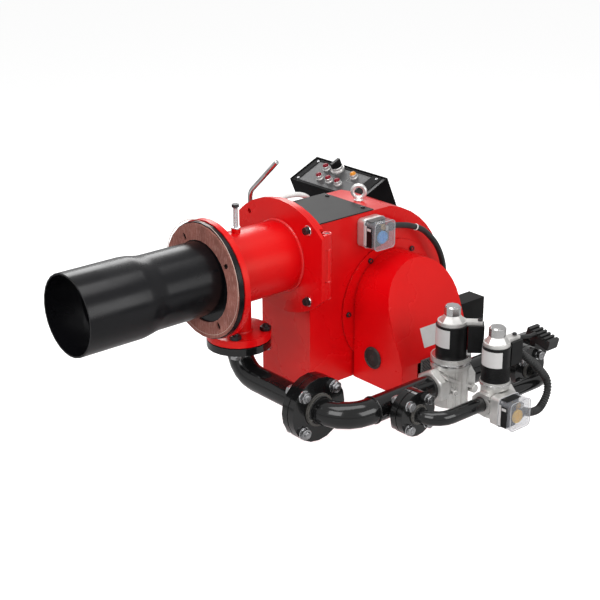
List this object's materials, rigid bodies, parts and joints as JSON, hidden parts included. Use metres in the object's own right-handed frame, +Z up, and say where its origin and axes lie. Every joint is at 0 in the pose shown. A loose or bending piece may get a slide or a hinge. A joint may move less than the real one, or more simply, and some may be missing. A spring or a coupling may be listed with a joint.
{
  "type": "industrial gas burner",
  "caption": "Forced-draught gas burner: black blast tube on a flanged red sleeve, red fan housing that swings on a hinge, air hood, console and a gas train with two solenoid valves.",
  "frame": {"origin": "where the flame axis meets the front face of the boiler gasket", "axes": "-X along the flame axis into the boiler, +X towards the fan, -Y towards the air hood and gas train, +Z up"},
  "size_m": [0.865, 0.7631, 0.4416],
  "materials": {
    "red_paint": "gloss red paint",
    "tube_black": "satin heat-proof black",
    "gasket_fibre": "brown fibre",
    "black_paint": "gloss black paint",
    "dark_grey": "matt dark grey",
    "seal": "matt",
    "chrome": "polished",
    "cast_aluminium": "as cast",
    "coil_plastic": "black",
    "conduit": "corrugated black",
    "clear_cover": "clear",
    "blue_dial": "blue",
    "yellow_dial": "yellow",
    "red_lens": "translucent red",
    "orange_lens": "translucent orange",
    "steel": "plain",
    "ceramic": "glazed white",
    "motor_grey": "grey paint"
  },
  "bodies": {
    "burner": {"burner_head": "red_paint", "blast_tube": "tube_black", "boiler_gasket": "gasket_fibre", "hinge_pin": "steel", "stub_gasket": "seal", "line_gasket": "seal", "left_branch_gasket": "seal", "right_branch_gasket": "seal", "inlet_elbow": "black_paint", "main_pipe": "black_paint", "supply_pipe": "black_paint", "start_gas_pipe": "black_paint", "start_gas_return": "black_paint", "main_valve_body": "cast_aluminium", "main_valve_coil": "coil_plastic", "main_valve_top_plate": "cast_aluminium", "main_valve_plug": "coil_plastic", "start_valve_body": "cast_aluminium", "start_valve_coil": "coil_plastic", "start_valve_top_plate": "cast_aluminium", "start_valve_plug": "coil_plastic", "gas_switch_base": "cast_aluminium", "gas_switch_cover": "clear_cover", "gas_switch_conduit": "conduit", "main_valve_cable": "conduit", "cable_connector": "coil_plastic", "gas_lance": "steel", "diffuser_disc": "steel", "ignition_electrode": "ceramic"},
    "housing": {"fan_housing": "red_paint", "inlet_ring": "red_paint", "fan_motor": "motor_grey", "terminal_box": "motor_grey", "intake_hood": "red_paint", "intake_grille": "black_paint", "hood_plug": "seal", "servomotor": "coil_plastic", "top_cover": "dark_grey", "eye_bolt": "chrome", "console_box": "black_paint", "console_plate": "dark_grey", "signal_lamp_1": "red_lens", "signal_lamp_2": "red_lens", "signal_lamp_3": "red_lens", "signal_lamp_4": "red_lens", "signal_lamp_5": "orange_lens", "selector_bezel": "chrome", "air_switch_base": "cast_aluminium", "air_switch_cover": "clear_cover", "air_switch_conduit": "conduit"},
    "fan": {"fan_wheel": "steel", "motor_shaft": "steel"},
    "damper": {"air_damper": "steel"},
    "lever": {"locking_lever": "chrome"},
    "lance_screw": {"set_screw": "steel"},
    "selector": {"selector_knob": "coil_plastic"},
    "air_setting": {"air_switch_dial": "blue_dial"},
    "gas_setting": {"gas_switch_dial": "yellow_dial"},
    "main_cap": {"main_valve_cap": "cast_aluminium"},
    "start_cap": {"start_valve_cap": "cast_aluminium"}
  },
  "joints": [
    {"name": "housing_swing", "type": "hinge", "parent": "burner", "child": "housing", "pos_m": [0.2035, -0.1108, 0.004], "axis": [0, 0, 1], "range_deg": [-8, 0]},
    {"name": "fan_spin", "type": "hinge", "parent": "housing", "child": "fan", "pos_m": [0.4076, 0.052, -0.129], "axis": [0, 1, 0], "continuous": true},
    {"name": "damper_turn", "type": "hinge", "parent": "housing", "child": "damper", "pos_m": [0.405, -0.145, -0.163], "axis": [1, 0, 0], "range_deg": [0, 90]},
    {"name": "lever_turn", "type": "hinge", "parent": "burner", "child": "lever", "pos_m": [0.2035, 0.1108, 0.066], "axis": [0, 0, 1], "range_deg": [-90, 90]},
    {"name": "lance_screw_turn", "type": "hinge", "parent": "burner", "child": "lance_screw", "pos_m": [0.081, 0, 0.0753], "axis": [0, 0, 1], "range_deg": [0, 360]},
    {"name": "selector_turn", "type": "hinge", "parent": "housing", "child": "selector", "pos_m": [0.52148, 0.212, 0.05839], "axis": [-0.4004, 0, 0.9164], "range_deg": [0, 90]},
    {"name": "air_setting_turn", "type": "hinge", "parent": "housing", "child": "air_setting", "pos_m": [0.347, -0.1006, 0.0255], "axis": [0, -1, 0], "range_deg": [-150, 150]},
    {"name": "gas_setting_turn", "type": "hinge", "parent": "burner", "child": "gas_setting", "pos_m": [0.343, -0.4541, -0.2175], "axis": [0, -1, 0], "range_deg": [-150, 150]},
    {"name": "main_cap_turn", "type": "hinge", "parent": "burner", "child": "main_cap", "pos_m": [0.35, -0.29, -0.0759], "axis": [0, 0, 1], "range_deg": [0, 360]},
    {"name": "start_cap_turn", "type": "hinge", "parent": "burner", "child": "start_cap", "pos_m": [0.35, -0.399, -0.0837], "axis": [0, 0, 1], "range_deg": [0, 360]}
  ]
}
